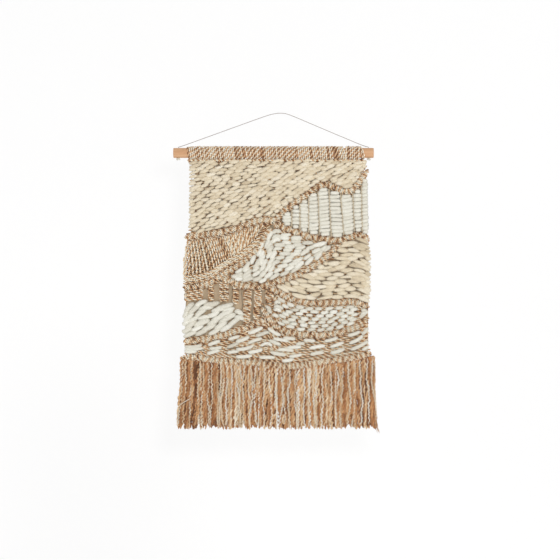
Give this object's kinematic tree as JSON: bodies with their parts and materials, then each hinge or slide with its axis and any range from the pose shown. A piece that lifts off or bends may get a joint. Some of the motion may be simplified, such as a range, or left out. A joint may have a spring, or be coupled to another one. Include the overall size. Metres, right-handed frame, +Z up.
{
  "type": "tapestry wall hanging",
  "caption": "Woven wall hanging: a textured panel of cream, white and jute yarn turns on a wooden dowel hung from a cord, with a loose fringe along its foot.",
  "frame": {"origin": "the hook point, under the apex of the hanging cord", "axes": "+Z up, +X to the right seen from the front, the woven front faces -Y and the wall is on the +Y side"},
  "size_m": [0.5124, 0.0354, 0.8059],
  "materials": {
    "pale_wood": "satin, lightly oiled",
    "hanging_string": "matte twisted cotton",
    "header_yarn": "matte twisted jute and cotton",
    "cream_roving": "soft matte wool roving",
    "white_rope": "smooth matte cotton rope",
    "white_wrap": "smooth matte cotton rope",
    "jute_yarn": "coarse matte twisted jute",
    "jute_wrap": "coarse matte twisted jute",
    "ridge_yarn": "coarse matte twisted jute",
    "warp_cotton": "matte cotton cord",
    "backing_linen": "matte plain weave",
    "fringe_yarn": "matte twisted jute, wool and cotton"
  },
  "bodies": {
    "hanger": {"hanging_cord": "hanging_string"},
    "dowel": {"dowel": "pale_wood", "knot_left": "hanging_string", "knot_right": "hanging_string"},
    "panel": {"backing_cloth": "backing_linen", "bottom_dash_band": "jute_yarn", "cream_field_lower": "cream_roving", "cream_field_upper": "cream_roving", "header_wraps": "header_yarn", "jute_column_1": "jute_wrap", "jute_column_2": "jute_wrap", "jute_column_3": "jute_wrap", "jute_column_4": "jute_wrap", "jute_column_5": "jute_wrap", "jute_column_6": "jute_wrap", "jute_column_7": "jute_wrap", "jute_field_left": "jute_yarn", "ridge_base": "ridge_yarn", "ridge_braid_foot": "ridge_yarn", "ridge_column_foot": "ridge_yarn", "ridge_left_slope": "ridge_yarn", "ridge_oval_foot": "ridge_yarn", "ridge_oval_top": "ridge_yarn", "ridge_skyline": "ridge_yarn", "ridge_triangle_foot": "ridge_yarn", "warp_cords": "warp_cotton", "white_braid_oval": "white_rope", "white_column_1": "white_wrap", "white_column_2": "white_wrap", "white_column_3": "white_wrap", "white_column_4": "white_wrap", "white_column_5": "white_wrap", "white_column_6": "white_wrap", "white_column_7": "white_wrap", "white_column_8": "white_wrap", "white_column_9": "white_wrap", "white_dash_oval": "white_rope", "white_dash_triangle": "white_rope"},
    "fringe_01": {"fringe_bundle_01": "fringe_yarn"},
    "fringe_02": {"fringe_bundle_02": "fringe_yarn"},
    "fringe_03": {"fringe_bundle_03": "fringe_yarn"},
    "fringe_04": {"fringe_bundle_04": "fringe_yarn"},
    "fringe_05": {"fringe_bundle_05": "fringe_yarn"},
    "fringe_06": {"fringe_bundle_06": "fringe_yarn"},
    "fringe_07": {"fringe_bundle_07": "fringe_yarn"},
    "fringe_08": {"fringe_bundle_08": "fringe_yarn"},
    "fringe_09": {"fringe_bundle_09": "fringe_yarn"},
    "fringe_10": {"fringe_bundle_10": "fringe_yarn"}
  },
  "joints": [
    {"name": "dowel_swing", "type": "hinge", "parent": "hanger", "child": "dowel", "pos_m": [0, 0, -0.0873], "axis": [1, 0, 0], "range_deg": [-40, 40]},
    {"name": "panel_turn", "type": "hinge", "parent": "dowel", "child": "panel", "pos_m": [-0.0165, 0, -0.1003], "axis": [1, 0, 0], "range_deg": [-100, 100]},
    {"name": "fringe_01_swing", "type": "hinge", "parent": "panel", "child": "fringe_01", "pos_m": [0, 0, -0.63533], "axis": [1, 0, 0], "range_deg": [-80, 80]},
    {"name": "fringe_02_swing", "type": "hinge", "parent": "panel", "child": "fringe_02", "pos_m": [0, 0, -0.64122], "axis": [1, 0, 0], "range_deg": [-80, 80]},
    {"name": "fringe_03_swing", "type": "hinge", "parent": "panel", "child": "fringe_03", "pos_m": [0, 0, -0.64383], "axis": [1, 0, 0], "range_deg": [-80, 80]},
    {"name": "fringe_04_swing", "type": "hinge", "parent": "panel", "child": "fringe_04", "pos_m": [0, 0, -0.64689], "axis": [1, 0, 0], "range_deg": [-80, 80]},
    {"name": "fringe_05_swing", "type": "hinge", "parent": "panel", "child": "fringe_05", "pos_m": [0, 0, -0.65251], "axis": [1, 0, 0], "range_deg": [-80, 80]},
    {"name": "fringe_06_swing", "type": "hinge", "parent": "panel", "child": "fringe_06", "pos_m": [0, 0, -0.65513], "axis": [1, 0, 0], "range_deg": [-80, 80]},
    {"name": "fringe_07_swing", "type": "hinge", "parent": "panel", "child": "fringe_07", "pos_m": [0, 0, -0.65432], "axis": [1, 0, 0], "range_deg": [-80, 80]},
    {"name": "fringe_08_swing", "type": "hinge", "parent": "panel", "child": "fringe_08", "pos_m": [0, 0, -0.64658], "axis": [1, 0, 0], "range_deg": [-80, 80]},
    {"name": "fringe_09_swing", "type": "hinge", "parent": "panel", "child": "fringe_09", "pos_m": [0, 0, -0.63981], "axis": [1, 0, 0], "range_deg": [-80, 80]},
    {"name": "fringe_10_swing", "type": "hinge", "parent": "panel", "child": "fringe_10", "pos_m": [0, 0, -0.63401], "axis": [1, 0, 0], "range_deg": [-80, 80]}
  ]
}
